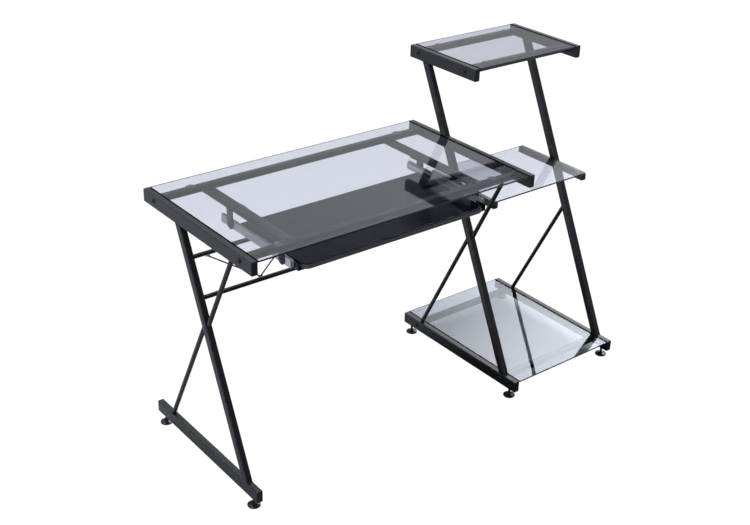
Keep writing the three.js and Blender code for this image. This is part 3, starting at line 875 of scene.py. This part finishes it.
# ---- Fasteners ---------------------------------------------------------------------------------
def socket_head(radius, height, across_flats, depth):
    """A button head with a hexagon socket, its seat at the origin."""
    steps = 24

    def hexagon(angle):
        return across_flats / 2 / math.cos((angle + math.pi / 6) % (math.pi / 3) - math.pi / 6)

    def circle(size):
        return lambda angle: size

    bm = bmesh.new()
    profile = [
        (circle(radius), 0.0),
        (circle(radius), 0.35 * height),
        (circle(0.93 * radius), 0.62 * height),
        (circle(0.78 * radius), 0.85 * height),
        (circle(0.6 * radius), 0.97 * height),
        (lambda angle: hexagon(angle) * 1.06, height),
        (hexagon, 0.96 * height),
        (hexagon, height - depth),
    ]
    rings = []
    for shape, level in profile:
        ring = []
        for step in range(steps):
            angle = math.tau * step / steps
            size = shape(angle)
            ring.append(bm.verts.new((size * math.cos(angle), size * math.sin(angle), level)))
        rings.append(ring)
    for first, second in zip(rings, rings[1:]):
        bridge(bm, first, second)
    bm.faces.new(rings[0])
    bm.faces.new(rings[-1])
    return bm


def set_of_heads(name, head_bm, spots, body, finish, seed):
    """The same head at each (point, direction)."""
    head = bpy.data.objects.new("head", mesh_of(head_bm, "head"))
    bpy.context.scene.collection.objects.link(head)
    head.data.shade_smooth()
    points, facing = zip(*spots)
    mesh = grown(FASTENERS, seeds(points, facing), Head=head, Seed=seed, Finish=finish)
    bpy.data.objects.remove(head)
    piece_of(name, mesh, body, (), (), 40)


LEFTWARD, RIGHTWARD = (-1, 0, 0), (1, 0, 0)
UPWARD, DOWNWARD = (0, 0, 1), (0, 0, -1)
BRACKET_FACE = 2.3 * MM  # from a slide to the outer face of its drop bracket
SCREW_STEP = 9 * MM  # from the middle of a tray bracket to each of its screws


def frame_bolts():
    """The bolts that pull each crossbar up to the rails at its two ends."""
    pairs = {
        "desk": ("desk_rail_left", "desk_rail_right"),
        "top": ("top_rail_left", "top_rail_right"),
        "base": ("foot_rail_middle", "foot_rail_right"),
    }
    spots = []
    for shelf, (left, right) in pairs.items():
        for end in ENDS:
            low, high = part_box(f"{shelf}_crossbar_{end}")
            mid = (low + high) / 2
            spots.append(((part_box(left)[0].x, mid.y, mid.z), LEFTWARD))
            spots.append(((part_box(right)[1].x, mid.y, mid.z), RIGHTWARD))
    head = socket_head(radius=7 * MM, height=3.4 * MM, across_flats=5 * MM, depth=2.2 * MM)
    set_of_heads("frame_bolts", head, spots, "frame", OXIDE, seed=3)


def tray_fixings():
    """Bolts through the hanger bars, screws into the slides, and screws under the board."""
    bar_bolts, slide_screws, board_screws = [], [], []
    for side, outward in zip(SIDES, (LEFTWARD, RIGHTWARD)):
        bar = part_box(f"hanger_bar_{side}")
        for end in ENDS:
            low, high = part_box(f"drop_bracket_{side}_{end}")
            y = (low.y + high.y) / 2
            x = (bar[0].x + bar[1].x) / 2
            bar_bolts.append(((x, y, bar[1].z), UPWARD))
            bar_bolts.append(((x, y, high.z - 2 * MM), DOWNWARD))
            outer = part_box(f"slide_outer_{side}")
            face = outer[0].x - BRACKET_FACE if side == "left" else outer[1].x + BRACKET_FACE
            slide_screws.append(((face, y, (outer[0].z + outer[1].z) / 2), outward))
            angle_low, angle_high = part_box(f"tray_bracket_{side}_{end}")
            middle = (angle_low + angle_high) / 2
            for step in (-SCREW_STEP, SCREW_STEP):
                board_screws.append(((middle.x, middle.y + step, angle_low.z), DOWNWARD))
    bolt = socket_head(radius=5.5 * MM, height=3.0 * MM, across_flats=4 * MM, depth=1.8 * MM)
    set_of_heads("hanger_bolts", bolt, bar_bolts, "frame", OXIDE, seed=5)
    screw = socket_head(radius=4.2 * MM, height=2.0 * MM, across_flats=2.5 * MM, depth=1.2 * MM)
    set_of_heads("slide_screws", screw, slide_screws, "frame", OXIDE, seed=7)
    small = socket_head(radius=3.6 * MM, height=1.8 * MM, across_flats=2.2 * MM, depth=1.0 * MM)
    set_of_heads("tray_screws", small, board_screws, "tray", OXIDE, seed=9)


frame_bolts()
tray_fixings()


def slide_balls():
    """Two rows of balls in each cage."""
    count, pitch, first, proud = 11, 13 * MM, 10 * MM, 0.1 * MM
    for side in SIDES:
        low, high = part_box(f"slide_cage_{side}")
        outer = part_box(f"slide_outer_{side}")
        x = (outer[0].x + outer[1].x) / 2
        spots = []
        for row in (low.z - proud, high.z + proud):
            for step in range(count):
                y = low.y + first + step * pitch
                spots.append(((x, y, row), UPWARD))
        ball = bmesh.new()
        bmesh.ops.create_uvsphere(ball, u_segments=10, v_segments=6, radius=1.0 * MM)
        name = f"slide_balls_{side}"
        set_of_heads(name, ball, spots, f"cage_{side}", BALL_STEEL, seed=11)


slide_balls()


# ---- Soft pads under the glass -----------------------------------------------------------------
def glass_pads(shelf, inset, radius):
    """Clear pads that carry a pane on its two crossbars."""
    spots = []
    for end in ENDS:
        low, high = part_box(f"{shelf}_crossbar_{end}")
        for x in (low.x + inset, high.x - inset):
            spots.append(((x, (low.y + high.y) / 2, high.z), UPWARD))
    thick = 2.45 * MM
    profile = [
        (0, 0),
        (radius, 0),
        (radius, 0.5 * thick),
        (0.93 * radius, 0.9 * thick),
        (0.84 * radius, thick),
        (0.72 * radius, 0.92 * thick),
        (0.62 * radius, 0.7 * thick),
        (0, 0.66 * thick),
    ]
    pad = lathe(profile, 28)
    name = f"{shelf}_glass_pads"
    set_of_heads(name, pad, spots, "frame", SILICONE, seed=13)


glass_pads("desk", inset=95 * MM, radius=13 * MM)
for shelf in ("top", "base"):
    glass_pads(shelf, inset=60 * MM, radius=8.5 * MM)


# ---- Glides ------------------------------------------------------------------------------------
THREAD_PITCH = 1.25 * MM
THREAD_RIDGE = 0.42 * MM
THREAD_START = 12 * MM


def glide_foot(frame_side, end):
    """A levelling foot: a broad disc with a low dome, a round grip and a threaded stem."""
    node = f"glide_{frame_side}_{end}"
    low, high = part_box(node)
    mid = (low + high) / 2
    radius = (high.x - low.x) / 2
    stem = 3.55 * MM
    profile = [
        (0, 0.0),
        (0.7 * radius, 0.0),
        (0.74 * radius, 0.6 * MM),
        (0.9 * radius, 0.6 * MM),
        (0.94 * radius, 0.0),
        (radius - 0.7 * MM, 0.2 * MM),
        (radius, 1.2 * MM),
        (radius, 3.4 * MM),
        (radius - 0.5 * MM, 4.2 * MM),
        (radius - 2.2 * MM, 4.9 * MM),
        (0.62 * radius, 6.6 * MM),
        (0.45 * radius, 7.4 * MM),
        (7.2 * MM, 7.8 * MM),
        (7.0 * MM, 8.2 * MM),
        (7.0 * MM, 10.6 * MM),
        (6.3 * MM, 11.2 * MM),
        (stem, 11.4 * MM),
        (stem, high.z - 0.8 * MM),
        (stem - 0.8 * MM, high.z),
        (0, high.z),
    ]
    centre = Vector((mid.x, mid.y, 0))
    disc = mesh_of(lathe(profile, 48, lambda v: v + centre), node)
    piece_of(node + "_foot", disc, node, [node], [GLIDE], 30)
    start = (mid.x, mid.y, THREAD_START)
    height = high.z - THREAD_START - 2 * MM
    ridge = grown(
        THREAD,
        seeds([start]),
        Turns=height / THREAD_PITCH,
        Radius=stem,
        Height=height,
        Ridge=THREAD_RIDGE,
        Finish=GLIDE,
    )
    piece_of(node + "_thread", ridge, node, (), (), None)


for frame_side in FRAMES:
    for end in ENDS:
        glide_foot(frame_side, end)


# ---- Welds -------------------------------------------------------------------------------------
def weld_lines():
    """Short weld runs where the frame's tubes, bars and wire meet their neighbours."""
    points, edges = [], []

    def run(*stops):
        first = len(points)
        points.extend(stops)
        edges.extend((first + i, first + i + 1) for i in range(len(stops) - 1))

    def across(x0, x1, y, z):
        run((x0 + 2 * MM, y, z), (x1 - 2 * MM, y, z))

    for node in LEGS:
        low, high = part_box(node)
        for z, y0, y1 in (
            (low.z, low.y, low.y + LEG_DEPTH),
            (high.z, high.y - LEG_DEPTH, high.y),
        ):
            across(low.x, high.x, y0, z)
            across(low.x, high.x, y1, z)
    for node in STRETCHERS:
        low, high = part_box(node)
        for x in (low.x, high.x):
            corners = ((low.y, low.z), (high.y, low.z), (high.y, high.z), (low.y, high.z))
            run(*((x, y, z) for y, z in corners + corners[:1]))
    for node in ("hanger_bar_left", "hanger_bar_right"):
        low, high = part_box(node)
        for y in (low.y, high.y):
            run((low.x, y, low.z), (high.x, y, low.z))
    for x, y, z in wire_bends:
        run((x - 6 * MM, y, z), (x + 6 * MM, y, z))
    for side in SIDES:
        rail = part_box(f"mid_rail_{side}")
        x = rail[0].x if side == "left" else rail[1].x
        y = (rail[0].y + rail[1].y) / 2
        for z in (rail[0].z, rail[1].z):
            run((x, y - 12 * MM, z), (x, y + 12 * MM, z))
    lines = seeds(points, None, edges)
    mesh = grown(WELDS, lines, Pitch=1.3 * MM, Radius=1.5 * MM, Seed=17, Finish=WELD)
    piece_of("weld_beads", mesh, "frame", (), (), None)


weld_lines()

for frame_side in FRAMES:
    for end in ENDS:
        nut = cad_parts[f"glide_nut_{frame_side}_{end}"]
        nut.data.materials.clear()
        nut.data.materials.append(ZINC)


# ---- Studio ------------------------------------------------------------------------------------
WHITE = (1, 1, 1, 1)
SKY_TINT = (0.94, 0.965, 1.03, 1)
FLOOR_REACH = 30.0
BACKDROP_GLOW = 1.05  # how white the floor and the surroundings look to the camera
# Painted shade on the floor, seen only by reflected and bounced rays: where the dark patch starts
# left of the desk, where it weakens right of it, how far it reaches back under the desk, and how
# softly it fades.
SHADE_PATCH_LEFT, SHADE_PATCH_RIGHT, SHADE_PATCH_REAR = 0.72, 0.75, 0.22
SHADE_PATCH_FADE = 0.25


def studio_floor():
    """A wide pale floor, white to the camera. Steel and glass reflect it with painted shade: darker
    to reflected and bounced rays, with a dark patch in front of and under the desk.
    """
    mesh = bpy.data.meshes.new("studio_floor")
    square = ((-1, -1), (1, -1), (1, 1), (-1, 1))
    corners = [(x * FLOOR_REACH, y * FLOOR_REACH, 0) for x, y in square]
    mesh.from_pydata(corners, [], [(0, 1, 2, 3)])
    floor = bpy.data.objects.new("studio_floor", mesh)
    bpy.context.scene.collection.objects.link(floor)
    f = Finish("studio_floor")
    cloud = f.noise(f.place(), 0.8, 2.0)
    where = {"Vector": f.node("ShaderNodeTexCoord", output="Object")}
    x = f.node("ShaderNodeSeparateXYZ", None, where, "X")
    y = f.node("ShaderNodeSeparateXYZ", None, where, "Y")
    beyond = ((x - SHADE_PATCH_RIGHT) / SHADE_PATCH_FADE).clamped() * 0.6
    # Painted shade: a dark patch on the floor in front of and under the desk, weaker to the right.
    painted_shade = ((x + SHADE_PATCH_LEFT) / SHADE_PATCH_FADE).clamped() * ((SHADE_PATCH_REAR - y) / SHADE_PATCH_FADE).clamped()
    through = f.node("ShaderNodeLightPath", output="Is Transmission Ray")
    # Painted shade: reflected and bounced rays see the floor darker than it looks through glass.
    mirrored = f.blend(painted_shade * (1.0 - beyond), (0.48, 0.48, 0.52), (0.06, 0.06, 0.07))
    shown = f.blend(cloud, (0.84, 0.84, 0.85), (0.87, 0.87, 0.88))
    colour = f.blend(through, mirrored, shown)
    paper = f.node("ShaderNodeBsdfPrincipled", None, {"Base Color": colour, "Roughness": 0.9})
    glow = f.node("ShaderNodeEmission", None, {"Color": WHITE, "Strength": BACKDROP_GLOW})
    seen = f.node("ShaderNodeLightPath", output="Is Camera Ray")
    f.shown_as(f.node("ShaderNodeMixShader", None, {0: seen, 1: paper, 2: glow}))
    mesh.materials.append(f.material)


def cosine_to(sky, way, toward):
    """The cosine of the angle between a ray and the direction of a light."""
    aim = tuple(Vector(toward).normalized())
    return sky.node("ShaderNodeVectorMath", {"operation": "DOT_PRODUCT"}, {0: way, 1: aim}, 1)


# Where each soft light is, how tight it is, and its strength.
SOFT_LIGHTS = (
    ((0.0, 0.0, 1.0), 5.0, 2.5),
    ((-0.90, 0.45, 0.15), 3.0, 0.75),
    ((0.2, 1.0, 0.1), 1.5, 0.50),
    ((0.62, 0.42, 0.66), 20.0, 0.9),
    ((0.90, -0.40, 0.20), 10.0, 0.7),
    ((-0.50, -0.80, 0.60), 4.0, 0.50),
)
# A bright round card high behind the right side: the cosines of its soft rim, and its strength.
CARD, CARD_RIM, CARD_CORE, CARD_GLOW = (0.70, 0.34, 0.63), 0.9219, 0.9816, 5.2


def studio_sky():
    """White surroundings with soft lights overhead, on all four sides, and one bright card."""
    world = bpy.data.worlds.new("studio_sky")
    bpy.context.scene.world = world
    sky = Shading(world, "ShaderNodeOutputWorld")
    way = sky.node("ShaderNodeTexCoord", output="Generated")
    glow = 0.06
    for toward, tightness, strength in SOFT_LIGHTS:
        cosine = cosine_to(sky, way, toward)
        glow = cosine.maths("MAXIMUM", cosine, 0.0) ** tightness * strength + glow
    card = {0: cosine_to(sky, way, CARD), 1: CARD_RIM, 2: CARD_CORE, 3: 0.0, 4: CARD_GLOW}
    glow = glow + sky.node("ShaderNodeMapRange", {"interpolation_type": "SMOOTHSTEP"}, card)
    lit = sky.node("ShaderNodeBackground", None, {"Color": SKY_TINT, "Strength": glow})
    white = sky.node("ShaderNodeBackground", None, {"Color": WHITE, "Strength": BACKDROP_GLOW})
    seen = sky.node("ShaderNodeLightPath", output="Is Camera Ray")
    sky.shown_as(sky.node("ShaderNodeMixShader", None, {0: seen, 1: lit, 2: white}))


def camera():
    data = bpy.data.cameras.new("camera")
    data.lens = 56.3
    data.sensor_width = 36.0
    data.clip_start, data.clip_end = 0.05, 60.0
    eye = bpy.data.objects.new("camera", data)
    eye.location = (-2.0197, -2.3946, 2.0507)
    angles = (62.7194, -1.5058, -38.0132)
    eye.rotation_euler = Euler([math.radians(a) for a in angles], "XYZ")
    bpy.context.scene.collection.objects.link(eye)
    bpy.context.scene.camera = eye


studio_floor()
studio_sky()
camera()
scene = bpy.context.scene
scene.view_settings.view_transform = "Standard"
scene.view_settings.look = "None"

bpy.context.view_layer.update()
